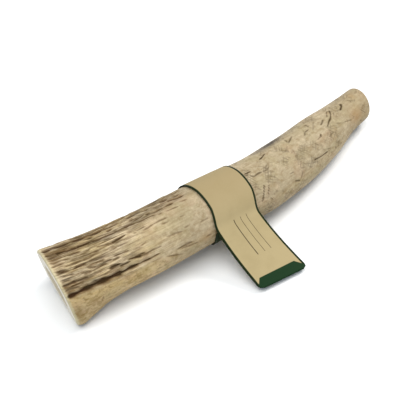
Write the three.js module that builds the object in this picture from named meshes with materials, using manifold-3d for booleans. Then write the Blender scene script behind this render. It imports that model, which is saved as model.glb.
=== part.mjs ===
// Elk antler lying on its side, with a kraft card tag folded round it. Millimetres, +Z up.
// +X runs from the thick sawn end to the thin one, and the antler bows towards -Y.
// Angles round the beam start at the -Y side and turn up over the top: 90 is up, 180 is +Y.
import * as THREE from 'three';
import Module from 'manifold-3d';
import { mergeVertices } from 'three/addons/utils/BufferGeometryUtils.js';

const wasm = await Module();
wasm.setup();

// The beam: stations along X from the butt cut, sideways bow, mean radius and air under it
const stations = [
  { x: 0, bow: 0, radius: 17.6, air: 0.9 },
  { x: 25, bow: -4.3, radius: 17.2, air: 0 },
  { x: 48, bow: -7.3, radius: 17, air: 0.1 },
  { x: 72, bow: -9.8, radius: 16.8, air: 1.1 },
  { x: 96, bow: -11.3, radius: 16, air: 1.6 },
  { x: 119, bow: -12.1, radius: 15.3, air: 0.7 },
  { x: 143, bow: -10, radius: 14.6, air: 0 },
  { x: 166, bow: -6, radius: 13.1, air: 0.2 },
  { x: 188, bow: -1.5, radius: 10.8, air: 0.2 },
  { x: 203, bow: 0.6, radius: 9.9, air: 0.4 },
];
const widthRatio = 1.03; // an antler beam is a little wider than it is high
const heightRatio = 0.95;
const swell = 0.25; // the slow unevenness of the whole beam

// The sawn ends
const buttNormal = new THREE.Vector3(-0.99, 0.11, -0.1).normalize(); // the saw went a few degrees askew
const tipNormal = new THREE.Vector3(0.98, -0.06, -0.17).normalize();
const skewReach = 34; // how far along the beam the skew of a cut dies out
const buttBevel = 1.2;
const tipRound = 2.6;

// The spur left of the burr, low on the -Y side of the butt
const spur = { angle: -42, reach: 7, halfWidth: 23, length: 34 };

// The gutters: each is one column of vertices between two ridges
const columns = 84;
const gutterDepth = 0.75;
const gutterFade = { from: 52, to: 108 };
const smoothFront = { from: -68, to: 22 }; // the worn stretch low on the -Y side, with faint gutters
const longGutters = [
  { angle: 30, depth: 1.3, from: 3, to: 76 },
  { angle: 51, depth: 0.9, from: 3, to: 58 },
  { angle: 86, depth: 0.9, from: 14, to: 72 },
  { angle: 120, depth: 1.2, from: 2, to: 84 },
  { angle: 146, depth: 1, from: 6, to: 100 },
  { angle: 205, depth: 1.1, from: 2, to: 80 },
  { angle: 240, depth: 1, from: 8, to: 66 },
];
const bodyRows = 44;

// The tag: a strip of card round the beam, its two halves glued into a tail on the -Y side
const card = 0.5;
const tagGap = 0.32; // between the card and the beam
const tagCentre = 91.8;
const tagWidth = 26.4;
const tagSkew = 0.8; // the strip runs round the back a little nearer the tip
const pinch = { angleLeft: 22, angleRight: 6, stand: 1.4, spread: 16 };
const tailEnd = { left: [82, -57, 2.6], right: [109.8, -61, 2.4] };
const tailSag = 3.6; // how far the tail hangs below a straight line
const tailCorner = 2.4;

const degrees = Math.PI / 180;
const clamp01 = (value) => Math.min(1, Math.max(0, value));
const smooth = (from, to, value) => {
  const t = clamp01((value - from) / (to - from));
  return t * t * (3 - 2 * t);
};
const turn = (angle, from) => ((angle - from + 540) % 360) - 180; // signed degrees between two angles

function seededRandom(seed) {
  let state = seed;
  return () => {
    state = (state * 1664525 + 1013904223) % 4294967296;
    return state / 4294967296;
  };
}

const centreline = new THREE.CatmullRomCurve3(
  stations.map((s) => new THREE.Vector3(s.x, s.bow, s.radius * heightRatio + s.air)),
  false, 'catmullrom', 0.5,
);
const girth = new THREE.CatmullRomCurve3(
  stations.map((s) => new THREE.Vector3(s.radius, 0, 0)),
  false, 'catmullrom', 0.5,
);
const beamLength = stations.at(-1).x;

// The curve parameter at which the centreline reaches x
function parameterAt(x) {
  let low = 0;
  let high = 1;
  for (let step = 0; step < 30; step += 1) {
    const middle = (low + high) / 2;
    if (centreline.getPoint(middle).x < x) low = middle;
    else high = middle;
  }
  return (low + high) / 2;
}

// Centre, radius and the three local directions of the beam at x
function beamAt(x) {
  const t = parameterAt(x);
  const along = centreline.getTangent(t);
  const side = new THREE.Vector3(along.y, -along.x, 0).normalize(); // towards -Y
  const up = new THREE.Vector3().crossVectors(side, along).normalize();
  return { centre: centreline.getPoint(t), radius: girth.getPoint(t).x, along, side, up };
}

function spurHeight(x, angle) {
  const alongFade = (1 - clamp01(x / spur.length)) ** 1.5;
  const around = turn(angle, spur.angle) / spur.halfWidth;
  return spur.reach * alongFade * Math.exp(-around * around);
}

function unevenness(x, angle) {
  const a = angle * degrees;
  return swell * (Math.sin(x / 15 + 2 * a) * 0.5 + Math.sin(x / 8.5 - 3 * a + 1) * 0.3 + Math.sin(x / 5 + 5 * a) * 0.2);
}

// The plain envelope of the beam, without its gutters
function envelope(beam, x, angle) {
  const a = angle * degrees;
  const radius = beam.radius + spurHeight(x, angle);
  return new THREE.Vector3()
    .addScaledVector(beam.side, Math.cos(a) * radius * widthRatio)
    .addScaledVector(beam.up, Math.sin(a) * radius * heightRatio);
}

// Every second column is a gutter with its own start, end, breaks and depth
function makeGutters() {
  const random = seededRandom(11);
  const gutters = [];
  for (let column = 1; column < columns; column += 2) {
    const angle = (column / columns) * 360 - 90;
    const long = longGutters.find((g) => Math.abs(turn(angle, g.angle)) < 360 / columns);
    const worn = turn(angle, smoothFront.from) > 0 && turn(angle, smoothFront.to) < 0;
    gutters[column] = long
      ? { depth: long.depth, from: long.from, to: long.to, breaks: 0.15, phase: random() * 40 }
      : {
        depth: gutterDepth * (worn ? 0.2 : 0.45 + 0.75 * random()),
        from: 1.5 + 8 * random(),
        to: gutterFade.from + (gutterFade.to - gutterFade.from) * random(),
        breaks: 0.75,
        phase: random() * 40,
      };
  }
  return gutters;
}
const gutters = makeGutters();

function gutterAt(column, x) {
  const g = gutters[column];
  if (!g) return 0;
  const ends = smooth(g.from, g.from + 4, x) * (1 - smooth(g.to - 22, g.to, x));
  const broken = 1 - g.breaks * smooth(0.35, 0.9, Math.sin((x + g.phase) / 6.2));
  return g.depth * ends * broken;
}

// The gutters wander sideways as they run, and calm down towards the tip
function columnAngle(column, x) {
  const straight = (column / columns) * 360 - 90;
  const wander = 1.6 * Math.sin(x / 11 + column * 0.55) + 1.2 * Math.sin(x / 6.5 + column * 1.3);
  return straight + wander * smooth(0, 8, x) * (1 - smooth(gutterFade.from, gutterFade.to, x));
}

// Slides a point of a cross-section along the beam so that the section lies in the saw's plane
function skewOf(beam, offset, normal) {
  return -offset.dot(normal) / beam.along.dot(normal);
}

// One point of the antler's surface; inset is how far a rounded edge pulls it in
function antlerPoint(x, column, inset) {
  const beam = beamAt(x);
  const angle = columnAngle(column, x);
  const offset = envelope(beam, x, angle);
  const reach = offset.length();
  const raised = unevenness(x, angle) * smooth(0, 10, x) * (1 - smooth(beamLength - 10, beamLength, x));
  offset.setLength(reach + raised - gutterAt(column, x) - inset);
  const buttSkew = skewOf(beam, offset, buttNormal) * (1 - clamp01(x / skewReach));
  const tipSkew = skewOf(beam, offset, tipNormal) * (1 - clamp01((beamLength - x) / skewReach));
  return beam.centre.add(offset).addScaledVector(beam.along, buttSkew + tipSkew);
}

// The rows of the lathe-like skin: the bevelled butt edge, the body, and the rounded tip edge
function antlerRows() {
  const rows = [{ x: 0, inset: buttBevel }, { x: buttBevel * 0.3, inset: buttBevel * 0.3 }];
  const bodyEnd = beamLength - tipRound;
  for (let row = 0; row <= bodyRows; row += 1) {
    rows.push({ x: buttBevel + (row / bodyRows) * (bodyEnd - buttBevel), inset: 0 });
  }
  for (const bend of [30, 60, 90]) {
    const a = bend * degrees;
    rows.push({ x: bodyEnd + tipRound * Math.sin(a), inset: tipRound * (1 - Math.cos(a)) });
  }
  return rows;
}

function weld(geometry) {
  geometry.deleteAttribute('normal');
  geometry.deleteAttribute('uv');
  return mergeVertices(geometry, 1e-4);
}

// A closed cylinder is bent onto the rows; each flat end is a fan about its own middle
function makeAntler() {
  const rows = antlerRows();
  const geometry = weld(new THREE.CylinderGeometry(1, 1, rows.length - 1, columns, rows.length - 1));
  const position = geometry.attributes.position;
  const ends = [0, rows.length - 1].map((row) => {
    const middle = new THREE.Vector3();
    for (let column = 0; column < columns; column += 1) {
      middle.addScaledVector(antlerPoint(rows[row].x, column, rows[row].inset), 1 / columns);
    }
    return middle;
  });
  for (let index = 0; index < position.count; index += 1) {
    const [px, py, pz] = [position.getX(index), position.getY(index), position.getZ(index)];
    const row = Math.round(py + (rows.length - 1) / 2);
    if (Math.hypot(px, pz) < 0.5) {
      position.setXYZ(index, ...ends[row === 0 ? 0 : 1]);
      continue;
    }
    const column = (Math.round((Math.atan2(-px, pz) / (2 * Math.PI)) * columns) + columns) % columns;
    position.setXYZ(index, ...antlerPoint(rows[row].x, column, rows[row].inset));
  }
  return geometry;
}

// How far the loop stands off towards the pinch, where its two halves meet; across is -1 to 1
function pinchAngle(across) {
  return THREE.MathUtils.lerp(pinch.angleLeft, pinch.angleRight, (across + 1) / 2);
}

function loopStand(angle, across) {
  const near = clamp01(1 - Math.abs(turn(angle, pinchAngle(across))) / pinch.spread);
  return pinch.stand * near * near;
}

function loopPoint(angle, across, lift) {
  const skew = tagSkew * (1 - Math.cos((angle - pinch.angleLeft) * degrees));
  const x = tagCentre + skew + (across * tagWidth) / 2;
  const beam = beamAt(x);
  const offset = envelope(beam, x, angle);
  offset.setLength(offset.length() + swell + tagGap + loopStand(angle, across) + lift);
  const point = beam.centre.add(offset);
  point.x = x; // the strip's edges stay square to X
  return point;
}

// The loop: a ring of card of rectangular section, bent round the beam
function makeLoop() {
  const acrossSteps = 4;
  const aroundSteps = 44;
  const profile = [];
  for (let step = 0; step <= acrossSteps; step += 1) {
    profile.push(new THREE.Vector2(2, -1 + (2 * step) / acrossSteps));
  }
  for (let step = acrossSteps; step >= 0; step -= 1) {
    profile.push(new THREE.Vector2(1, -1 + (2 * step) / acrossSteps));
  }
  profile.push(profile[0].clone());
  const geometry = weld(new THREE.LatheGeometry(profile, aroundSteps));
  const position = geometry.attributes.position;
  for (let index = 0; index < position.count; index += 1) {
    const [px, py, pz] = [position.getX(index), position.getY(index), position.getZ(index)];
    const angle = Math.atan2(pz, px) / degrees;
    const lift = Math.hypot(px, pz) > 1.5 ? card : 0;
    position.setXYZ(index, ...loopPoint(angle, py, lift));
  }
  return geometry;
}

// One long edge of the tail, from inside the pinch to its free end
function tailEdge(across, end) {
  const start = loopPoint(pinchAngle(across), across, card * 0.2);
  const finish = new THREE.Vector3(...end);
  const middle = start.clone().lerp(finish, 0.35);
  middle.z -= tailSag;
  return new THREE.QuadraticBezierCurve3(start, middle, finish);
}

// The tail: two thicknesses of card on a surface ruled between its two edges
function makeTail() {
  const longSteps = 16;
  const acrossSteps = 4;
  const edges = [tailEdge(-1, tailEnd.left), tailEdge(1, tailEnd.right)];
  const geometry = weld(new THREE.BoxGeometry(1, 1, 2, longSteps, 1, acrossSteps));
  const position = geometry.attributes.position;
  const length = edges[0].getLength();
  const ruled = (q, across) => edges[0].getPoint(q).lerp(edges[1].getPoint(q), (across + 1) / 2);
  for (let index = 0; index < position.count; index += 1) {
    const q = Math.sqrt(position.getX(index) + 0.5); // rows crowd towards the rounded corners
    const left = length * (1 - q);
    const corner = left < tailCorner ? tailCorner - Math.sqrt(tailCorner ** 2 - (tailCorner - left) ** 2) : 0;
    const across = position.getZ(index) * (1 - corner / (tagWidth / 2));
    const down = ruled(Math.min(1, q + 0.01), across).sub(ruled(Math.max(0, q - 0.01), across));
    const over = ruled(q, 1).sub(ruled(q, -1));
    const normal = new THREE.Vector3().crossVectors(over, down).normalize();
    const side = position.getY(index) > 0 ? card : -card;
    position.setXYZ(index, ...ruled(q, across).addScaledVector(normal, side));
  }
  return geometry;
}

function toSolid(geometry) {
  return new wasm.Manifold(new wasm.Mesh({
    numProp: 3,
    vertProperties: new Float32Array(geometry.attributes.position.array),
    triVerts: new Uint32Array(geometry.index.array),
  }));
}

function toGeometry(solid) {
  const mesh = solid.getMesh();
  const geometry = new THREE.BufferGeometry();
  geometry.setAttribute('position', new THREE.BufferAttribute(new Float32Array(mesh.vertProperties), 3));
  geometry.setIndex(new THREE.BufferAttribute(new Uint32Array(mesh.triVerts), 1));
  return geometry;
}

function makePaperTag() {
  return toGeometry(toSolid(makeLoop()).add(toSolid(makeTail())));
}

function addMesh(parent, name, geometry, colour, roughness) {
  geometry.computeVertexNormals();
  const material = new THREE.MeshStandardMaterial({ color: colour, roughness, metalness: 0 });
  const mesh = new THREE.Mesh(geometry, material);
  mesh.name = name;
  parent.add(mesh);
}

const group = new THREE.Group();
addMesh(group, 'antler', makeAntler(), 0xb49b7d, 0.6);
addMesh(group, 'paper_tag', makePaperTag(), 0xbfa878, 0.8);

// The origin is the middle of the bottom of the whole object's box
const box = new THREE.Box3().setFromObject(group);
const middle = box.getCenter(new THREE.Vector3());
group.position.set(-middle.x, -middle.y, -box.min.z);

export default group;
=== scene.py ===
import math

import bpy
import numpy as np
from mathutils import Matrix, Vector


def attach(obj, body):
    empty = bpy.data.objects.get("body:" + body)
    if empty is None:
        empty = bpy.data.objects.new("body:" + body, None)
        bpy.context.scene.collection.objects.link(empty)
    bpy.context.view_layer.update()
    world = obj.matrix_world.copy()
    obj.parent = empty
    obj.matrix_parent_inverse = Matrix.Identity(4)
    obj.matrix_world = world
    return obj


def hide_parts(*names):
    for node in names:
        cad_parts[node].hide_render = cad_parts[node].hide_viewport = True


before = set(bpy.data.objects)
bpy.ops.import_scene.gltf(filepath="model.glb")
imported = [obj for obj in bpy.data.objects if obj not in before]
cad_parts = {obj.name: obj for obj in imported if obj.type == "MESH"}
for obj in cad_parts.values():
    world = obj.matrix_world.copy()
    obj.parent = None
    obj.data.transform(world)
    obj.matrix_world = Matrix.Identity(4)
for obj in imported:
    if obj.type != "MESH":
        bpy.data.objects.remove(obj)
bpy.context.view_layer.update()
mm = 0.001  # shapes are worked out in millimetres and built in metres
print("frame loaded:", sorted(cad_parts))


# Node maths: a Wire is one socket, and an expression on wires adds the nodes that work it out
class Wire:
    def __init__(self, graph, socket):
        self.graph = graph
        self.socket = socket

    def __add__(self, other):
        return self.graph.maths("ADD", self, other)

    def __radd__(self, other):
        return self.graph.maths("ADD", other, self)

    def __sub__(self, other):
        return self.graph.maths("SUBTRACT", self, other)

    def __rsub__(self, other):
        return self.graph.maths("SUBTRACT", other, self)

    def __mul__(self, other):
        return self.graph.maths("MULTIPLY", self, other)

    def __rmul__(self, other):
        return self.graph.maths("MULTIPLY", other, self)

    def __abs__(self):
        return self.graph.maths("ABSOLUTE", self)

    def atLeast(self, other):
        return self.graph.maths("MAXIMUM", self, other)

    def atMost(self, other):
        return self.graph.maths("MINIMUM", self, other)

    def ramp(self, low, high):
        # 0 below low and 1 above high, or the other way round where low is the larger
        settings = {"interpolation_type": "SMOOTHSTEP", "clamp": True}
        limits = {0: self, 1: low, 2: high, 3: 0.0, 4: 1.0}
        return self.graph.add("ShaderNodeMapRange", settings, limits)

    def crest(self):
        # 1 where a noise crosses its middle value and less to both sides, which draws wandering lines
        return 1 - abs(self - 0.5) * 2


# A node tree with one method that makes any node; it serves materials and Geometry Nodes alike
class Graph:
    def __init__(self, tree):
        self.tree = tree

    def add(self, kind, settings=None, inputs=None, output=0):
        node = self.tree.nodes.new(kind)
        for name, value in (settings or {}).items():
            setattr(node, name, value)
        for key, value in (inputs or {}).items():
            if isinstance(value, Wire):
                self.tree.links.new(value.socket, node.inputs[key])
            else:
                node.inputs[key].default_value = value
        return Wire(self, node.outputs[output]) if node.outputs else None

    def maths(self, operation, *values):
        return self.add("ShaderNodeMath", {"operation": operation}, dict(enumerate(values)))

    def stretch(self, vector, factors):
        return self.add("ShaderNodeVectorMath", {"operation": "MULTIPLY"}, {0: vector, 1: factors})

    def drawnOut(self, vector, squeeze):
        # squeezes coordinates along the beam, so that a pattern on them runs long
        return self.stretch(vector, (squeeze, 1, 1))

    def along(self, vector, length):
        return self.add("ShaderNodeVectorMath", {"operation": "SCALE"}, {0: vector, "Scale": length})

    def twist(self, vector, angle):
        # turns a vector about X, so that a pattern runs round the beam like a screw thread
        inputs = {"Vector": vector, "Angle": angle}
        return self.add("ShaderNodeVectorRotate", {"rotation_type": "X_AXIS"}, inputs)

    def parts(self, vector):
        first = self.add("ShaderNodeSeparateXYZ", None, {0: vector})
        return [Wire(self, socket) for socket in first.socket.node.outputs]

    def mix(self, factor, low, high):
        settings = {"data_type": "RGBA", "clamp_factor": True}
        return self.add("ShaderNodeMix", settings, {0: factor, 6: low, 7: high}, 2)

    def layered(self, tones, first, layers):
        # brings tones in one over another, each by its mask
        colour = tones[first]
        for mask, name in layers:
            colour = self.mix(mask, colour, tones[name])
        return colour

    def noise(self, vector, scale, seed=0.0, detail=2.0, roughness=0.5, distortion=0.0):
        inputs = {"Vector": vector, "W": seed, "Scale": scale, "Detail": detail}
        inputs.update({"Roughness": roughness, "Distortion": distortion})
        return self.add("ShaderNodeTexNoise", {"noise_dimensions": "4D"}, inputs)

    def cells(self, vector, scale):
        return self.add("ShaderNodeTexVoronoi", {"feature": "F1"}, {"Vector": vector, "Scale": scale})

    def stored(self, name, kind="FLOAT"):
        # an attribute of the mesh, in Geometry Nodes
        return self.add("GeometryNodeInputNamedAttribute", {"data_type": kind}, {"Name": name})

    def store(self, geometry, name, value, domain="POINT"):
        settings = {"data_type": "FLOAT", "domain": domain}
        inputs = {"Geometry": geometry, "Name": name, "Value": value}
        return self.add("GeometryNodeStoreNamedAttribute", settings, inputs)

    def number(self, name):
        # an attribute of the mesh, in a material
        return self.add("ShaderNodeAttribute", {"attribute_name": name}, None, 2)

    def vector(self, name):
        return self.add("ShaderNodeAttribute", {"attribute_name": name}, None, 1)

    def bump(self, height, strength, depth):
        inputs = {"Strength": strength, "Distance": depth * mm, "Height": height}
        return self.add("ShaderNodeBump", None, inputs)


def tone(red, green, blue):
    # a colour as it is read off a screen, 0 to 255, turned into the linear colour that nodes take
    shares = [c / 255 for c in (red, green, blue)]
    linear = [((s + 0.055) / 1.055) ** 2.4 if s > 0.04 else s / 12.92 for s in shares]
    return (*linear, 1.0)


def ease(low, high, value):
    t = np.clip((value - low) / (high - low), 0, 1)
    return t * t * (3 - 2 * t)


def turnFrom(angle, start):
    return (angle - start + 540) % 360 - 180


def unit(vectors):
    return vectors / np.linalg.norm(vectors, axis=-1, keepdims=True)


def linked(name, data):
    thing = bpy.data.objects.new(name, data)
    bpy.context.collection.objects.link(thing)
    return thing


def meshOf(name, points, faces, attributes):
    mesh = bpy.data.meshes.new(name)
    mesh.from_pydata((points * mm).tolist(), [], faces)
    for label, values in attributes.items():
        kind, field = ("FLOAT_VECTOR", "vector") if values.ndim == 2 else ("FLOAT", "value")
        data = mesh.attributes.new(label, kind, "POINT").data
        data.foreach_set(field, values.astype(np.float32).ravel())
    return linked(name, mesh)


def geometryTree(name, sizes, material):
    # a Geometry Nodes tree with a named input for each size and for the material
    tree = bpy.data.node_groups.new(name, "GeometryNodeTree")
    tree.interface.new_socket("Geometry", in_out="INPUT", socket_type="NodeSocketGeometry")
    for label in sizes:
        tree.interface.new_socket(label, in_out="INPUT", socket_type="NodeSocketFloat")
    tree.interface.new_socket(material, in_out="INPUT", socket_type="NodeSocketMaterial")
    tree.interface.new_socket("Geometry", in_out="OUTPUT", socket_type="NodeSocketGeometry")
    graph = Graph(tree)
    entry = graph.add("NodeGroupInput").socket.node
    return tree, graph, {socket.name: Wire(graph, socket) for socket in entry.outputs if socket.name}


def finishTree(graph, geometry, material):
    geometry = graph.add("GeometryNodeRealizeInstances", None, {0: geometry})
    inputs = {"Geometry": geometry, "Material": material}
    geometry = graph.add("GeometryNodeSetMaterial", None, inputs)
    leave = graph.tree.nodes.new("NodeGroupOutput")
    graph.tree.links.new(geometry.socket, leave.inputs[0])


def dressedBy(thing, tree, values):
    # runs a Geometry Nodes tree on a piece and keeps the result as its plain mesh
    modifier = thing.modifiers.new(tree.name, "NODES")
    modifier.node_group = tree
    for item in tree.interface.items_tree:
        if item.in_out == "INPUT" and item.name in values:
            modifier[item.identifier] = values[item.name]
    depsgraph = bpy.context.evaluated_depsgraph_get()
    evaluated = thing.evaluated_get(depsgraph)
    mesh = bpy.data.meshes.new_from_object(evaluated, preserve_all_data_layers=True, depsgraph=depsgraph)
    thing.modifiers.clear()
    thing.data = mesh
    mesh.shade_smooth()


def newMaterial(name):
    material = bpy.data.materials.new(name)
    material.use_nodes = True
    material.node_tree.nodes.clear()
    return material, Graph(material.node_tree)


def finishMaterial(graph, inputs):
    surface = graph.add("ShaderNodeBsdfPrincipled", None, inputs)
    graph.add("ShaderNodeOutputMaterial", None, {"Surface": surface})


# The antler's beam, in mm from the middle of the butt cut. Angles go round it like a dial:
# 0 is the -Y side, 90 the top, 180 the +Y side.
beam = {
    "place": (-100.922, 21.493, 0.041),  # where the beam starts in the frame
    "x": (0, 25, 48, 72, 96, 119, 143, 166, 188, 204.4),
    "bow": (0, -4.3, -7.3, -9.8, -11.3, -12.1, -10, -6, -1.1, 1.4),
    "radius": (17.6, 17.2, 17, 16.8, 16, 15.3, 14.6, 13.1, 10.2, 9.2),
    "air": (0.9, 0, 0.1, 1.1, 1.6, 0.7, 0, 0.2, 0.6, 1),
    "widthRatio": 1.03,
    "heightRatio": 0.95,
    "swell": 0.25,  # the slow unevenness of the whole beam
    "calmEnds": 10,  # it dies out over this length before each cut
    "buttNormal": (-0.99, 0.11, -0.1),
    "tipNormal": (0.98, -0.06, -0.17),
    "skewReach": 34,  # how far along the beam the skew of a cut dies out
    "buttBevel": 1.2,
    "tipRound": 2.6,
    "spur": {  # what is left of the burr, its edge worn down at the cut
        "angle": -42, "halfWidth": 23, "reach": 7, "length": 34, "slope": 1.5,
        "worn": 0.2, "wornLength": 4,
    },
    # the keel brings the flank to the floor, and the flat lies low on the -Y side
    "keel": {"angle": -62, "halfWidth": 20, "reach": 1.3, "fades": (36, 64)},
    "flat": {"angle": -32, "halfWidth": 26, "depth": 1.1, "starts": (9, 22), "fades": (88, 116)},
}
beamEnd = beam["x"][-1]


def throughStations(t):
    # centre and radius of the beam at curve parameter t, on a Catmull-Rom curve through its stations
    radius = np.array(beam["radius"], float)
    height = radius * beam["heightRatio"] + np.array(beam["air"])
    stations = np.column_stack([beam["x"], beam["bow"], height, radius])
    padded = np.vstack([2 * stations[0] - stations[1], stations, 2 * stations[-1] - stations[-2]])
    scaled = np.clip(t, 0, 1) * (len(stations) - 1)
    index = np.minimum(scaled.astype(int), len(stations) - 2)
    f = (scaled - index)[..., None]
    a, b, c, d = (padded[index + k] for k in range(4))
    cubic = (2 * a - 5 * b + 4 * c - d) * f ** 2 + (3 * b - a - 3 * c + d) * f ** 3
    return 0.5 * (2 * b + (c - a) * f + cubic)


curveSteps = np.linspace(0, 1, 4001)
curveX = throughStations(curveSteps)[:, 0]


def beamAt(x):
    nudge = 1e-4
    t = np.interp(x, curveX, curveSteps)
    place = throughStations(t)
    along = unit((throughStations(t + nudge) - throughStations(t - nudge))[..., :3])
    side = unit(np.stack([along[..., 1], -along[..., 0], 0 * t], -1))
    return {"centre": place[..., :3], "radius": place[..., 3], "along": along, "side": side,
            "up": np.cross(side, along)}


def mound(form, angle):
    # 1 at the form's own angle, dying out over its half width
    return np.exp(-(turnFrom(angle, form["angle"]) / form["halfWidth"]) ** 2)


def envelope(at, x, angle):
    # from the beam's middle to its plain outer skin, without gutters
    spur, keel, flat = beam["spur"], beam["keel"], beam["flat"]
    spurFall = (1 - np.clip(x / spur["length"], 0, 1)) ** spur["slope"]
    spurHeight = spur["reach"] * spurFall * mound(spur, angle)
    spurHeight = spurHeight * (1 - spur["worn"] * (1 - ease(0, spur["wornLength"], x)))
    keelHeight = keel["reach"] * (1 - ease(*keel["fades"], x)) * mound(keel, angle)
    flatDepth = flat["depth"] * ease(*flat["starts"], x) * (1 - ease(*flat["fades"], x))
    flatDepth = flatDepth * mound(flat, angle)
    radius = at["radius"] + spurHeight + keelHeight - flatDepth
    a = np.radians(angle)
    sideways = at["side"] * (np.cos(a) * radius * beam["widthRatio"])[..., None]
    upwards = at["up"] * (np.sin(a) * radius * beam["heightRatio"])[..., None]
    return sideways + upwards


def unevenness(x, angle):
    a = np.radians(angle)
    waves = 0.5 * np.sin(x / 15 + 2 * a) + 0.3 * np.sin(x / 8.5 - 3 * a + 1) + 0.2 * np.sin(x / 5 + 5 * a)
    calm = beam["calmEnds"]
    return beam["swell"] * waves * ease(0, calm, x) * (1 - ease(beamEnd - calm, beamEnd, x))


def towardsSawCuts(at, offset, x):
    # slides a cross-section along the beam so that the end sections lie in the saws' planes
    slide = 0
    for normal, reach in ((beam["buttNormal"], x), (beam["tipNormal"], beamEnd - x)):
        normal = unit(np.array(normal))
        skew = -(offset @ normal) / (at["along"] @ normal)
        slide = slide + skew * (1 - np.clip(reach / beam["skewReach"], 0, 1))
    return at["along"] * slide[..., None]


def skinPoint(x, angle, inset):
    at = beamAt(x)
    offset = envelope(at, x, angle)
    length = np.linalg.norm(offset, axis=-1)
    offset = offset * ((length + unevenness(x, angle) - inset) / length)[..., None]
    point = at["centre"] + offset + towardsSawCuts(at, offset, x)
    return point + np.array(beam["place"]), unit(offset), length


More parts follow.
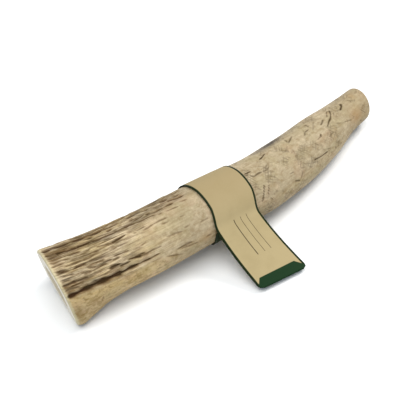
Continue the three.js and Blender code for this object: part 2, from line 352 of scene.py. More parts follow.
# Gutters that can be seen in the photograph: strength, half width in mm, and a route of (x, angle)
gutters = [
    (1.0, 1.6, ((0.8, 28.4), (4, 28.8), (8, 30), (14, 32), (22, 32.6), (29, 33))),
    (0.95, 0.95, ((26, 33), (38, 33.2))),
    (0.9, 0.5, ((36, 33), (46, 33))),
    (0.5, 0.45, ((43, 33), (49, 33.5))),
    (0.45, 0.9, ((1, 38.5), (5, 39), (8, 38))),
    (0.85, 0.9, ((1, 48), (8, 48))),
    (0.8, 0.65, ((7, 48.5), (14, 47))),
    (0.65, 0.5, ((4, 43), (9, 43.5), (14, 45.5))),
    (0.5, 0.7, ((13, 47), (17, 47.5))),
    (0.6, 0.6, ((16.5, 49), (20, 48.5))),
    (0.5, 0.4, ((20.5, 42), (25, 44))),
    (0.9, 1.0, ((23.7, 46), (26.5, 47.5), (29.5, 47))),
    (0.85, 0.8, ((28.5, 43), (34, 43.5))),
    (0.95, 0.7, ((33.5, 48), (37, 46), (40.5, 43))),
    (0.75, 0.5, ((36.5, 47.5), (42.5, 46.5))),
    (0.5, 0.45, ((40, 43), (46, 43.5))),
    (0.45, 0.4, ((45, 44.5), (51, 44))),
    (0.45, 0.5, ((1.5, 53.5), (6, 53))),
    (0.55, 0.5, ((11, 56), (16, 55))),
    (0.7, 0.5, ((15, 61), (18, 58.5), (21, 57), (24, 56))),
    (0.7, 0.5, ((3, 62), (5, 61.5), (8.5, 60.5))),
    (0.75, 0.5, ((22, 60.5), (26.7, 59))),
    (0.6, 0.6, ((26.5, 57.5), (30.5, 58))),
    (0.7, 0.55, ((28, 62), (35.5, 61.5))),
    (0.6, 0.5, ((16.5, 65), (23.7, 64))),
    (0.9, 0.65, ((8.5, 67), (11, 68.5), (15.5, 69.5))),
    (0.6, 0.45, ((3, 70.5), (6.5, 69))),
    (0.45, 0.4, ((1, 72.5), (4.5, 71))),
    (0.65, 0.45, ((6, 75.5), (12, 75), (14.5, 74.5))),
    (0.6, 0.45, ((14, 75), (17.5, 75.3), (20, 77), (22.5, 78))),
    (0.3, 0.4, ((27, 73), (31.5, 72.5))),
    (0.65, 0.5, ((0.8, 82), (3.2, 81.5))),
    (0.6, 0.4, ((4, 82), (7, 82.3))),
    (0.65, 0.5, ((7, 88), (9.5, 85.3))),
    (0.45, 0.4, ((2.5, 87), (4.5, 87))),
    (0.5, 0.5, ((0.8, 89.5), (3.5, 89))),
    (0.75, 0.5, ((10, 91.5), (12.5, 93), (16, 92))),
    (0.65, 0.45, ((14.5, 86.5), (20, 88.5))),
    (0.5, 0.4, ((10, 83), (13.5, 82.5), (18.5, 83))),
    (0.75, 0.5, ((23, 88), (28, 86), (30, 84.5))),
    (0.95, 0.7, ((29.5, 84.8), (33, 86), (37.8, 87.5))),
    (0.5, 0.45, ((39.5, 89), (42, 88.5))),
    (0.65, 0.45, ((41.8, 83), (43.3, 83))),
    (0.55, 0.4, ((43.3, 85.5), (48.5, 86))),
    (0.45, 0.45, ((46.5, 80), (53, 83), (56, 83), (60.5, 82))),
    (0.35, 0.45, ((56.5, 76), (59.8, 74.3))),
    (0.3, 0.4, ((65.5, 72), (68.3, 72))),
    (0.95, 1.0, ((0.8, 107.5), (3.4, 107.5))),
    (0.7, 0.9, ((3, 107), (6, 106.5))),
    (1.0, 1.2, ((5.5, 106.5), (10.5, 105.5))),
    (0.9, 0.9, ((9.5, 104), (15.5, 103.5))),
    (1.0, 0.95, ((14.5, 104), (24.5, 103.8))),
    (0.85, 0.6, ((23.5, 103), (33, 102), (45, 102.5))),
    (0.75, 0.5, ((43, 101), (47, 99), (51, 99), (56.5, 97.3))),
    (0.55, 0.5, ((57.8, 94), (60, 94))),
    (0.75, 0.8, ((19.3, 114), (24.3, 112.5))),
    (0.8, 0.75, ((30.8, 111), (34.2, 112))),
    (0.6, 0.6, ((37.2, 110), (39.3, 112))),
    (0.8, 0.9, ((42.8, 111), (46, 112))),
    (0.75, 0.5, ((45.8, 106), (48, 107.5), (52, 108))),
    (0.8, 0.8, ((52.3, 107), (55, 106))),
    (0.75, 0.5, ((57.5, 103), (61.5, 103.3))),
    (0.85, 0.6, ((62.5, 103), (67.3, 103))),
    (0.55, 0.5, ((57.5, 112), (60, 112.5))),
    (0.8, 0.7, ((65.5, 113), (70, 110), (73.8, 108.5))),
    (0.5, 0.4, ((61.5, 93), (68, 91))),
    (0.4, 0.4, ((70.5, 97), (74, 96))),
    (0.9, 1.6, ((0.8, 122.5), (11, 123), (19, 121.5), (30, 122))),
    (0.85, 1.1, ((43.8, 120), (47, 121))),
    (0.85, 1.2, ((51.5, 119), (55.5, 119.5))),
    (0.9, 1.1, ((62.5, 122), (66.5, 121.5))),
    (0.8, 0.8, ((69.5, 118), (73, 117))),
    (0.75, 0.9, ((30, 121), (39, 122))),
    (0.7, 1.0, ((12, 131), (30, 132), (44, 130))),
    (0.7, 0.9, ((47, 131), (62, 132))),
    (0.7, 0.9, ((64, 130), (75, 129))),
    (0.34, 0.7, ((58, 25.2), (66, 24.5))),
    (0.24, 0.55, ((60, 22), (64, 20), (69, 17.5))),
    (0.25, 0.6, ((73.5, 19.5), (76.5, 18.5))),
    (0.26, 0.5, ((73, 48.3), (78, 49))),
    (0.28, 0.5, ((55.5, 53.3), (60, 51.5), (64, 49))),
    (0.3, 0.4, ((65, 53), (67.5, 53))),
    (0.3, 0.4, ((38, 58.5), (42.5, 57))),
    (0.35, 0.45, ((42, 59), (45, 62))),
    (0.3, 0.5, ((52, 22), (56, 16), (60, 10))),
    (0.4, 0.5, ((16, -10), (17, 3))),
]

# Knocks and scrapes on the smooth half, in the same form
scrapes = [
    (0.9, 0.4, ((106, 89), (110, 89))),
    (0.8, 0.4, ((106, 86), (108, 85))),
    (0.8, 0.45, ((108, 80), (110, 76.5), (113, 78), (115, 77.5))),
    (0.5, 0.35, ((115, 77.5), (118, 76), (120, 78))),
    (1.0, 0.5, ((119.6, 104), (122.5, 106.5), (125.7, 111.5))),
    (0.35, 0.7, ((117.6, 79.5), (120.5, 86))),
    (0.3, 0.35, ((114, 93), (118, 86))),
    (0.75, 0.4, ((140, 97.5), (143, 103), (145.7, 108))),
    (0.65, 0.35, ((140.3, 101), (141, 110), (141.6, 119.5))),
    (0.4, 0.4, ((134.5, 86), (138, 94))),
    (0.4, 0.8, ((132.3, 75.5), (133.5, 69))),
    (0.35, 0.35, ((143, 63), (146, 75))),
    (0.75, 0.4, ((157.4, 99.5), (157.9, 113))),
    (0.7, 0.45, ((150.5, 89), (153.2, 95.5), (155.5, 94.5))),
    (0.4, 0.4, ((156.5, 84.5), (162.3, 103))),
    (0.85, 0.5, ((157, 63.5), (158.8, 71))),
    (0.75, 0.4, ((170.6, 91), (172.5, 98), (174.8, 106))),
    (0.95, 0.45, ((165.3, 72), (168.2, 78), (171, 82), (174, 91), (176.5, 103.5))),
    (0.75, 0.45, ((162.8, 83.5), (165, 87), (167.5, 92))),
    (0.45, 0.35, ((174.5, 82), (176.8, 91))),
    (1.0, 0.8, ((181.8, 83), (184.7, 91), (186.3, 101))),
    (0.6, 0.4, ((184.9, 104), (185.4, 99))),
    (0.4, 0.5, ((161.5, 51), (163.7, 53), (166.3, 52))),
    (0.4, 0.35, ((171.3, 63), (176.8, 50))),
    (0.45, 0.4, ((177, 52), (184, 41))),
    (0.5, 0.3, ((154, 64), (158, 66))),
    (0.85, 0.4, ((145.3, 36), (150, 30.5), (156.5, 27))),
    (0.55, 0.5, ((193, 13), (195, 2))),
    (0.5, 0.6, ((128.4, 44), (130.8, 43))),
    (0.75, 0.5, ((129, 25.5), (132.7, 17.5))),
    (0.8, 0.45, ((108, 26), (110, 40), (111.9, 53.5))),
    (0.65, 0.4, ((111.8, 31), (114.2, 49))),
    (0.35, 0.3, ((115, 22), (115.5, 30))),
]

# Stains: which colour, how strong, the middle (x, angle), and the half length and half width in mm
stains = [
    ("soot", 1.0, (134.5, 133), (9.5, 3)),
    ("umber", 0.55, (5, 42), (6, 2.2)),
    ("umber", 0.45, (8, 108), (9, 2.4)),
    ("umber", 0.4, (3, -12), (3.5, 4)),
    ("soot", 0.5, (10, 123), (12, 1.6)),
    ("warm", 0.55, (190, 38), (6, 4.2)),
    ("warm", 0.4, (195.5, 100), (2, 3)),
    ("pale", 0.25, (194.5, 84), (4, 3.5)),
    ("warm", 0.35, (74, 20), (5, 3)),
    ("warm", 0.4, (3, 85), (4, 3)),
]
stainKinds = ("soot", "warm", "umber", "pale")

# Gutters and scrapes where the photograph doesn't reach, drawn at random within these limits
hiddenSide = {
    "seed": 11,
    "gutters": {
        "count": 230,
        "start": (0.8, 68, 1.15),  # the first x, the stretch that follows, how they crowd to the butt
        "length": (4, 20, 110),  # the shortest, what the longest has more, and x where none is left
        "angle": (128, 292),  # from the top edge round the back to the belly
        "drift": 1.6,  # degrees from one point of the route to the next
        "wobble": 0.6,
        "strength": (0.4, 1.0, 130),  # the weakest, the strongest, and x where none is left
        "halfWidth": (0.34, 0.5),  # the thinnest, and what the widest has more
    },
    "scrapes": {
        "count": 46,
        "start": (106, 190),
        "angle": (125, 360),
        "length": (1.5, 8),
        "slope": (-4, 7),
        "bend": (-6, 6),
        "strength": (0.3, 0.85),
        "halfWidth": (0.25, 0.4),
    },
}
routeSteps = 3


def hiddenGutters(random):
    kind = hiddenSide["gutters"]
    first, stretch, crowding = kind["start"]
    shortest, longer, lengthEnd = kind["length"]
    weakest, strongest, strengthEnd = kind["strength"]
    thinnest, wider = kind["halfWidth"]
    made = []
    for _ in range(kind["count"]):
        start = first + stretch * random.random() ** crowding
        length = (shortest + longer * random.random() ** 2) * (1 - start / lengthEnd)
        angle = random.uniform(*kind["angle"])
        drift = random.uniform(-kind["drift"], kind["drift"])
        strength = random.uniform(weakest, strongest) * (1 - start / strengthEnd)
        route = []
        for k in range(routeSteps + 1):
            wobble = random.uniform(-kind["wobble"], kind["wobble"])
            route.append((start + length * k / routeSteps, angle + drift * (k + wobble)))
        made.append((strength, thinnest + wider * random.random() ** 2, route))
    return made


def hiddenScrapes(random):
    kind = hiddenSide["scrapes"]
    made = []
    for _ in range(kind["count"]):
        drawn = [random.uniform(*kind[name]) for name in ("start", "angle", "length", "slope", "bend")]
        start, angle, length, slope, bend = drawn
        route = [(start + length * k / routeSteps, angle + slope * k + bend * (k / routeSteps) ** 2)
                 for k in range(routeSteps + 1)]
        strength = random.uniform(*kind["strength"])
        made.append((strength, random.uniform(*kind["halfWidth"]), route))
    return made


# How a stroke is drawn from its route
stroke = {
    "reach": 6.0,  # mm past its ends in which it is worked out
    "sideReach": 25,  # degrees to its sides
    "phaseStep": 1.7,
    "longWander": (0.6, 1.9),  # share of the wander, and mm along the beam for one radian of it
    "shortWander": (0.4, 0.83),
    "degreeLength": 0.3,  # mm that a degree counts for in a route's length
    "widthWave": (0.3, 1.3),
    "taper": 1.2,  # mm at each end over which it thins
    "gutters": {"wander": 0.06, "slender": 0.7},
    "scrapes": {"wander": 0.08, "slender": 0.75},
}


def strokeDepth(force, halfWidth):
    return (force * 0.65 + 0.35) * min(1, 0.3 + 0.7 * halfWidth)


def strokeField(strokes, x, angle, radius, manner):
    # three values for each point: 1 along the middle of a stroke, 0.5 at its edge and 0 at twice its
    # half width; how strong the nearest stroke is; and how deep
    field, strength, depth = (np.zeros_like(x) for _ in range(3))
    reach = stroke["reach"]
    longShare, longWave = stroke["longWander"]
    shortShare, shortWave = stroke["shortWander"]
    waveHeight, waveLength = stroke["widthWave"]
    for order, (force, fullHalfWidth, route) in enumerate(strokes):
        halfWidth = fullHalfWidth * manner["slender"]
        xs, turns = (np.array(values, float) for values in zip(*route))
        abreast = np.abs(turnFrom(angle, turns.mean())) < np.ptp(turns) / 2 + stroke["sideReach"]
        near = np.nonzero((x > xs.min() - reach) & (x < xs.max() + reach) & abreast)[0]
        phase = order * stroke["phaseStep"]
        px = x[near]
        longSine = longShare * np.sin(px / longWave + phase)
        shift = manner["wander"] * (longSine + shortShare * np.sin(px / shortWave + 2 * phase))
        py = np.radians(turnFrom(angle[near], turns[0])) * radius[near] + shift
        ys = np.radians(turns - turns[0])[:, None] * radius[near]
        lengths = np.hypot(np.diff(xs), np.diff(turns) * stroke["degreeLength"])
        total = lengths.sum()
        best = np.full(len(near), -9.0)  # below anything that a stroke can give
        for k in range(len(xs) - 1):
            dx = xs[k + 1] - xs[k]
            dy = ys[k + 1] - ys[k]
            t = np.clip(((px - xs[k]) * dx + (py - ys[k]) * dy) / (dx * dx + dy * dy), 0, 1)
            distance = np.hypot(px - xs[k] - t * dx, py - ys[k] - t * dy)
            gone = (lengths[:k].sum() + t * lengths[k]) / total
            width = halfWidth * (1 + waveHeight * np.sin(gone * total / waveLength + phase))
            toEnd = np.minimum(gone, 1 - gone) * total
            taper = 0.5 + 0.5 * np.clip(toEnd / stroke["taper"], 0, 1) ** 0.5
            best = np.maximum(best, taper - 0.5 * distance / width)
        ahead = best > field[near]
        wins = near[ahead]
        field[wins] = best[ahead]
        strength[wins] = force
        depth[wins] = strokeDepth(force, fullHalfWidth)
    return field, strength, depth


def stainField(kind, x, angle, radius):
    field = np.zeros_like(x)
    for name, force, (middleX, middleAngle), (halfLength, halfWidth) in stains:
        if name == kind:
            across = np.radians(turnFrom(angle, middleAngle)) * radius
            distance = np.hypot((x - middleX) / halfLength, across / halfWidth)
            field = np.maximum(field, force * np.exp(-distance ** 2))
    return field


skin = {
    "columns": 304,
    "gutterStep": 0.74,  # mm between rows where there are gutters
    "hiddenStep": 2.2,  # under the tag
    "scrapeStep": 0.62,
    "tagCovers": (81, 103),
    "bevelTurns": (0, 22, 44, 66),
    "tipTurns": 7,
    "buttRings": 20,
    "tipRings": 10,
    "front": {"angles": (-68, 24), "blend": (-6, 8)},  # worn plain, low on the -Y side
    "ridged": {  # how far the ridges reach: less at the front, most over the top, less again behind
        "reach": 50, "overTop": (34, (84, 108)), "behind": (14, (150, 230)),
        "fades": (-28, 6), "starts": (0.4, 3),
    },
    "carving": {
        "Gutter Depth": 0.9, "Ridge Depth": 0.5, "Grain Depth": 0.09,
        "Scrape Depth": 0.3, "Pore Depth": 0.5, "Seed": 4.0,
    },
}


def skinRows():
    # x and inset of every row from the butt's edge to the tip's
    bevel, tipRound = beam["buttBevel"], beam["tipRound"]
    bodyEnd = beamEnd - tipRound
    rows = []
    for turn in np.radians(skin["bevelTurns"]):
        rows.append((bevel * (1 - math.cos(turn)), bevel * (1 - math.sin(turn))))
    coverStart, coverEnd = skin["tagCovers"]
    stretches = ((bevel, coverStart, skin["gutterStep"]), (coverStart, coverEnd, skin["hiddenStep"]),
                 (coverEnd, bodyEnd, skin["scrapeStep"]))
    for start, stop, step in stretches:
        count = round((stop - start) / step)
        rows += [(start + (stop - start) * k / count, 0) for k in range(count)]
    for turn in np.radians(np.linspace(0, 90, skin["tipTurns"])):
        rows.append((bodyEnd + tipRound * math.sin(turn), tipRound * (1 - math.cos(turn))))
    return np.array(rows, float)


def gridFaces(rows, columns, closed):
    # a closed grid runs round from its last column to its first
    row, column = np.meshgrid(np.arange(rows - 1), np.arange(columns if closed else columns - 1),
                              indexing="ij")
    beside = (column + 1) % columns
    corners = [row * columns + column, row * columns + beside,
               (row + 1) * columns + beside, (row + 1) * columns + column]
    return np.stack(corners, -1).reshape(-1, 4)


def wornFront(angle):
    low, high = skin["front"]["angles"]
    before, after = skin["front"]["blend"]
    middle = (low + high) / 2
    half = (high - low) / 2
    return 1 - ease(half + before, half + after, np.abs(turnFrom(angle, middle)))


def ridgedShare(x, angle, front):
    ridged = skin["ridged"]
    overTop, topAngles = ridged["overTop"]
    behind, behindAngles = ridged["behind"]
    reach = ridged["reach"] + overTop * ease(*topAngles, angle) - behind * ease(*behindAngles, angle)
    fadeStart, fadeEnd = ridged["fades"]
    faded = 1 - ease(reach + fadeStart, reach + fadeEnd, x)
    return (1 - front) * faded * ease(*ridged["starts"], x)


def skinAttributes(x, angle, radius, outward):
    a = np.radians(angle)
    random = np.random.default_rng(hiddenSide["seed"])
    allGutters = gutters + hiddenGutters(random)
    allScrapes = scrapes + hiddenScrapes(random)
    groove, force, deep = strokeField(allGutters, x, angle, radius, stroke["gutters"])
    scrape, scrapeForce, _ = strokeField(allScrapes, x, angle, radius, stroke["scrapes"])
    front = wornFront(angle)
    attributes = {
        "flow": np.stack([x, radius * np.cos(a), radius * np.sin(a)], -1),  # the skin as if unbent
        "outward": outward,
        "groove": groove, "force": force, "deep": deep,
        "scrape": scrape, "scrapeForce": scrapeForce,
        "ridged": ridgedShare(x, angle, front), "front": front,
        "sawn": np.zeros_like(x), "core": np.zeros_like(x),
    }
    for kind in stainKinds:
        attributes[kind] = stainField(kind, x, angle, radius)
    return attributes


def sawnFace(point, attributes, first, count, cut):
    # rings from one edge of the skin that shrink to one point; their points, attributes and faces
    rings, normal, backwards = cut
    columns = skin["columns"]
    edge = slice(first, first + columns)
    scales = 1 - np.arange(1, rings) / rings

    def shrunk(rim):
        centre = rim.mean(0)
        inner = centre + (rim - centre)[None] * scales[:, None, None]
        return np.vstack([inner.reshape(-1, 3), centre[None]])

    points = shrunk(point[edge])
    size = len(points)
    added = {name: np.zeros(size) for name in attributes}
    added["flow"] = shrunk(attributes["flow"][edge])
    added["outward"] = np.tile(unit(np.array(normal)), (size, 1))
    added["sawn"] = np.ones(size)
    added["core"] = 1 - np.append(np.repeat(scales, columns), 0)

    inner = count + np.arange((rings - 1) * columns).reshape(rings - 1, columns)
    ids = np.vstack([np.arange(first, first + columns)[None], inner])
    beside = np.roll(ids, -1, 1)
    quads = np.stack([ids[:-1], beside[:-1], beside[1:], ids[1:]], -1).reshape(-1, 4)
    fan = np.stack([ids[-1], beside[-1], np.full(columns, count + size - 1)], -1)
    if backwards:
        quads, fan = quads[:, ::-1], fan[:, ::-1]
    return points, added, quads.tolist() + fan.tolist()


def makeSkin():
    rows = skinRows()
    columns = skin["columns"]
    x, inset = (np.repeat(rows[:, k], columns) for k in range(2))
    angle = np.tile(np.arange(columns) * 360 / columns, len(rows))
    point, outward, radius = skinPoint(x, angle, inset)
    attributes = skinAttributes(x, angle, radius, outward)

    points = [point]
    collected = {name: [values] for name, values in attributes.items()}
    faces = gridFaces(len(rows), columns, True)[:, ::-1].tolist()
    lastRow = (len(rows) - 1) * columns
    cuts = ((0, (skin["buttRings"], beam["buttNormal"], False)),
            (lastRow, (skin["tipRings"], beam["tipNormal"], True)))
    for first, cut in cuts:
        count = sum(len(block) for block in points)
        added, addedValues, addedFaces = sawnFace(point, attributes, first, count, cut)
        points.append(added)
        faces += addedFaces
        for name, values in addedValues.items():
            collected[name].append(values)
    points = np.vstack(points)
    points[:, 2] = np.maximum(points[:, 2], 0)
    return meshOf("antler_skin", points, faces, {k: np.concatenate(v) for k, v in collected.items()})


def carveTree():
    # cuts gutters, ridges, grain, scrapes and pores into the skin, and leaves masks for the material
    tree, graph, given = geometryTree("carve", skin["carving"], "Bone")
    flow = graph.stored("flow", "FLOAT_VECTOR")
    outward = graph.stored("outward", "FLOAT_VECTOR")
    force = graph.stored("force")
    sawn = graph.stored("sawn")
    ridged = graph.stored("ridged")
    seed = given["Seed"]

    ragged = graph.noise(graph.drawnOut(flow, 0.16), 1.3, seed, 3, 0.6) - 0.5
    patchy = graph.noise(flow, 0.12, seed + 21, 2, 0.5).ramp(0.36, 0.6)
    broad = graph.noise(graph.drawnOut(flow, 0.055), 0.42, seed + 3, 2, 0.5)
    fine = graph.noise(graph.drawnOut(flow, 0.06), 0.8, seed + 7, 3, 0.6)
    grain = graph.noise(flow, 1.3, seed + 9, 3, 0.6) - 0.5
    lumps = graph.noise(graph.drawnOut(flow, 0.5), 0.11, seed + 13, 2, 0.5) - 0.5

    edge = graph.stored("groove") + ragged * 0.1
    gutter = edge.ramp(0.15, 0.85)
    stained = edge.ramp(0.37, 0.7) * (force * 0.9 + 0.08)
    halo = edge.ramp(0.0, 0.5) * (force * 0.7 + 0.3)
    valley = broad.crest().ramp(0.82, 1.0) * patchy
    crease = fine.crest().ramp(0.8, 1.0)
    scratch = (graph.stored("scrape") + ragged * 0.25).ramp(0.3, 0.6) * graph.stored("scrapeForce")
    pores = graph.cells(flow, 0.75).ramp(0.5, 0.12) * graph.stored("core").ramp(0.34, 0.5)

    carved = gutter * given["Gutter Depth"] * graph.stored("deep")
    carved = carved + (valley * 0.75 + crease * 0.55) * ridged * given["Ridge Depth"]
    carved = carved + scratch * given["Scrape Depth"]
    carved = carved - (grain + lumps * 2.4) * given["Grain Depth"]
    carved = carved * (1 - sawn) + pores * sawn * given["Pore Depth"]
    inputs = {"Geometry": given["Geometry"], "Offset": graph.along(outward, carved * -mm)}
    geometry = graph.add("GeometryNodeSetPosition", None, inputs)

    dark = stained.atLeast((valley * 0.55 + crease * 0.42) * ridged) * (1 - sawn)
    geometry = graph.store(geometry, "dark", dark)
    geometry = graph.store(geometry, "halo", halo)
    geometry = graph.store(geometry, "scratch", scratch * (1 - sawn))
    geometry = graph.store(geometry, "pores", pores * sawn)
    finishTree(graph, geometry, given["Bone"])
    return tree


bone = {
    "ridgeTan": tone(200, 178, 133),
    "ridgeCream": tone(219, 199, 165),
    "ochre": tone(188, 160, 108),
    "greyCream": tone(167, 151, 122),
    # painted shade: a darker tone for the beam's lower side
    "undersideShade": tone(158, 140, 106),
    "streak": tone(112, 86, 50),
    "mottle": tone(140, 120, 86),
    "blush": tone(184, 148, 118),
    "olive": tone(146, 134, 92),
    "lichen": tone(142, 116, 62),
    "halo": tone(120, 90, 50),
    "gutterRed": tone(60, 34, 12),
    "gutterOlive": tone(58, 42, 16),
    "scratch": tone(72, 56, 32),
    "soot": tone(56, 48, 44),
    "warm": tone(158, 124, 80),
    "umber": tone(122, 90, 48),
    "pale": tone(190, 175, 138),
    "rim": tone(204, 194, 158),
    "cortex": tone(230, 223, 210),
    "marrow": tone(196, 182, 154),
    "poreShade": tone(112, 90, 60),
    "shine": 0.12,
    "bumpStrength": 0.7,
    "bumpDepth": 0.6,  # mm
    "smoothFrom": (48, 84),  # mm along the beam over which the ridges give way to smooth skin
    "scuffsFrom": (96, 110),
    "dullTip": (165, 195),
    "patterns": {
        # how far it is squeezed along the beam, then its scale, seed, detail, roughness and distortion
        "broad": (0.35, 0.16, 1, 3, 0.55),
        "streaks": (0.06, 1.0, 2, 4, 0.65),
        "blotches": (0.6, 0.3, 5, 4, 0.65, 0.5),
        "clouds": (0.8, 0.55, 15, 4, 0.7),
        "specks": (1, 1.7, 6, 3, 0.6),
        "threads": (0.05, 2.0, 9, 2, 0.5),
        "grain": (0.5, 4.2, 8, 3, 0.7),
        "blush": (1, 0.12, 12, 3),
        "olive": (1, 0.1, 18, 3),
    },
    "hatchTurns": ((0.11, 21), (-0.085, 22), (0.035, 23)),  # radians a mm round the beam, and a seed
}


def hatching(graph, flow, x):
    # hair-thin scuffs that cross each other, in patches
    lines = 0
    for turn, seed in bone["hatchTurns"]:
        twisted = graph.drawnOut(graph.twist(flow, x * turn), 0.1)
        thread = graph.noise(twisted, 0.5, seed, 1, 0.4)
        where = graph.noise(flow, 0.16, seed + 5, 2, 0.5).ramp(0.49, 0.62)
        lines = thread.crest().ramp(0.94, 0.975) * where + lines
    return lines.atMost(1)


def sawnTone(graph, blotches, streaks):
    # a dense pale wall round a porous middle
    pores = graph.mix(graph.number("pores"), bone["marrow"], bone["poreShade"])
    wall = graph.mix(streaks * 0.2, bone["cortex"], bone["marrow"])
    inner = (graph.number("core") + (blotches - 0.5) * 0.25).ramp(0.34, 0.52)
    return graph.mix(inner, wall, pores)


def boneMaterial():
    material, graph = newMaterial("antler_bone")
    flow = graph.vector("flow")
    x, _, up = graph.parts(flow)
    names = ("dark", "front", "sawn", "halo", "ridged", "scratch", *stainKinds)
    dark, front, sawn, halo, ridged, scratch, soot, warm, umber, pale = map(graph.number, names)
    noises = {}
    for name, (squeeze, *settings) in bone["patterns"].items():
        noises[name] = graph.noise(graph.drawnOut(flow, squeeze), *settings)
    broad, streaks, blotches, clouds, specks, threads, grain, blush, olive = noises.values()

    thread = threads.crest().ramp(0.87, 0.98) * ridged
    smoothHalf = (x + broad * 30).ramp(*bone["smoothFrom"])
    plain = smoothHalf.atLeast(front)
    hatch = hatching(graph, flow, x) * (x.ramp(*bone["scuffsFrom"]) * 0.85 + 0.15) * smoothHalf
    patches = blotches.ramp(0.46, 0.6) * 0.45 + clouds.ramp(0.5, 0.62) * 0.25
    tones = {
        **bone,
        "ridge": graph.mix(broad.ramp(0.38, 0.62), bone["ridgeTan"], bone["ridgeCream"]),
        "gutter": graph.mix(blotches.ramp(0.4, 0.6), bone["gutterRed"], bone["gutterOlive"]),
        "face": sawnTone(graph, blotches, streaks),
    }
    colour = graph.layered(tones, "ridge", (
        (smoothHalf, "greyCream"),
        (front * (1 - smoothHalf * 0.75) * 0.85, "ochre"),
        # painted shade: the beam darker towards its underside
        ((up * -1).ramp(-6, 12) * 0.5, "undersideShade"),
        (streaks.ramp(0.49, 0.62) * (0.75 - plain * 0.6), "streak"),
        (streaks.ramp(0.47, 0.36) * (0.65 - plain * 0.5), "ridgeCream"),
        (thread * 0.52, "streak"),
        (blotches.ramp(0.5, 0.68) * 0.4, "mottle"),
        (clouds.ramp(0.5, 0.62) * (0.12 + plain * 0.48), "mottle"),
        (clouds.ramp(0.48, 0.34) * 0.3, "ridgeCream"),
        (blush.ramp(0.5, 0.68) * 0.2, "blush"),
        (olive.ramp(0.48, 0.64) * 0.25, "olive"),
        (patches * front * (1 - smoothHalf * 0.7), "lichen"),
        (specks.ramp(0.6, 0.75) * 0.4, "streak"),
        (x.ramp(*bone["dullTip"]) * 0.34, "mottle"),
        (warm, "warm"),
        (umber, "umber"),
        (pale, "pale"),
        (soot * streaks.ramp(0.2, 0.5), "soot"),
        (halo * 0.5, "halo"),
        (dark * (0.8 + grain * 0.38), "gutter"),
        (hatch * 0.42, "scratch"),
        (scratch, "scratch"),
        ((x + specks * 1.6).ramp(2.6, 1.2) * 0.7, "rim"),
        (sawn, "face"),
    ))

    height = grain * 0.15 + streaks * (0.9 - plain * 0.75) + (specks + clouds) * 0.12
    height = height - hatch * 0.25 - thread * 0.3
    finishMaterial(graph, {
        "Base Color": colour,
        "Roughness": 0.46 + grain * 0.16 + dark * 0.22 + sawn * 0.16,
        "Normal": graph.bump(height, bone["bumpStrength"], bone["bumpDepth"]),
        "Specular IOR Level": bone["shine"],
    })
    return material


def makeAntler():
    thing = makeSkin()
    dressedBy(thing, carveTree(), {**skin["carving"], "Bone": boneMaterial()})
    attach(thing, "root")
    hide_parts("antler")
    print("antler:", len(thing.data.polygons), "faces")


# The tag: one strip of card round the beam, its two halves glued into a tail. Sizes in mm.
# "Across" is -1 at the strip's butt side and 1 at its tip side.
tag = {
    "card": 0.42,
    "gap": 0.22,  # between the card and the beam's skin
    "glue": 0.02,  # between each half and the tail's middle surface
    "width": 26,
    "turns": (20, 32, 44, 58, 75, 100, 135, 200, 270, 310, 335, 360, 380),  # where round the beam
    "middles": (90.4, 90.8, 91.6, 92.6, 92.9, 93.1, 92.6, 92, 92, 91.8, 90.2, 89.4, 90.4),  # its x there
    "pinch": (22, 17),  # the angle at which the halves meet, at either edge
    "stand": 0.9,  # how far the card stands off there
    "spread": 12,  # degrees over which it lies down again
    "tailEnds": ((82, -57, 2.6), (109.8, -61, 2.4)),  # the two corners of the tail's free end
    "tailSag": 3.6,
    "tailBend": 0.35,  # share of the tail at which it sags most
    "tailFree": 0.045,  # share of the tail in which it bends away from the pinch
    "tailLift": 0.1,  # how far its root stands off the ring
    "corner": 2.4,
    "upperHug": 5,  # degrees before the pinch at which the upper layer leaves the beam
    "lowerHug": 6,
    "upperPull": 1.0,  # how stiffly each layer bends between the beam and the tail
    "lowerPull": 0.6,
    "wave": 0.12,
    "seed": 2.0,
    "columns": 26,
    "tailRows": 46,
    "loopRows": 110,
    "bendRows": 14,
    "stripe": 1.05,  # the printed edge line
    "block": 6.0,  # the printed end of the tail
    "chamfer": 2.3,  # of the bare panel's lower corners
    "backPrintAndShade": (34, 50),  # from the free end, a dark green band where the under layer meets the antler: guessed print, and painted shade in the fold
    "rules": ((-2.2, 0.24), (1.8, 0.14), (5.4, 0.14)),  # plain printed lines: place across, half thickness
    "ruleSpan": (17, 39),  # from the free end
}


def pinchAt(across):
    left, right = tag["pinch"]
    return left + (right - left) * (across + 1) / 2


def loopPoint(angle, across, lift):
    around = tag["turns"][0] + (angle - tag["turns"][0]) % 360
    x = np.interp(around, tag["turns"], tag["middles"]) + across * tag["width"] / 2
    at = beamAt(x)
    offset = envelope(at, x, angle)
    length = np.linalg.norm(offset, axis=-1)
    near = np.clip(1 - np.abs(turnFrom(angle, pinchAt(across))) / tag["spread"], 0, 1)
    raised = beam["swell"] + tag["gap"] + tag["stand"] * near ** 2 + lift
    point = at["centre"] + offset * ((length + raised) / length)[..., None]
    point[..., 0] = x
    return point


def tailPoint(q, across, side):
    # on the surface ruled between the tail's two bent edges; side is +1 on its upper layer
    step = 0.01
    edges = []
    for edge, end in zip((-1.0, 1.0), tag["tailEnds"]):
        start = loopPoint(np.array([float(pinchAt(edge))]), np.array([edge]), tag["tailLift"])[0]
        finish = np.array(end, float)
        middle = start + (finish - start) * tag["tailBend"] - np.array([0, 0, tag["tailSag"]])
        edges.append([(1 - s) ** 2 * start + 2 * s * (1 - s) * middle + s ** 2 * finish
                      for s in (q[..., None], q[..., None] + step)])
    share = ((across + 1) / 2)[..., None]
    here, ahead = (edges[0][k] * (1 - share) + edges[1][k] * share for k in range(2))
    normal = unit(np.cross(edges[1][0] - edges[0][0], ahead - here))
    normal = normal * np.sign(normal[..., 2:3])
    return here + normal * side


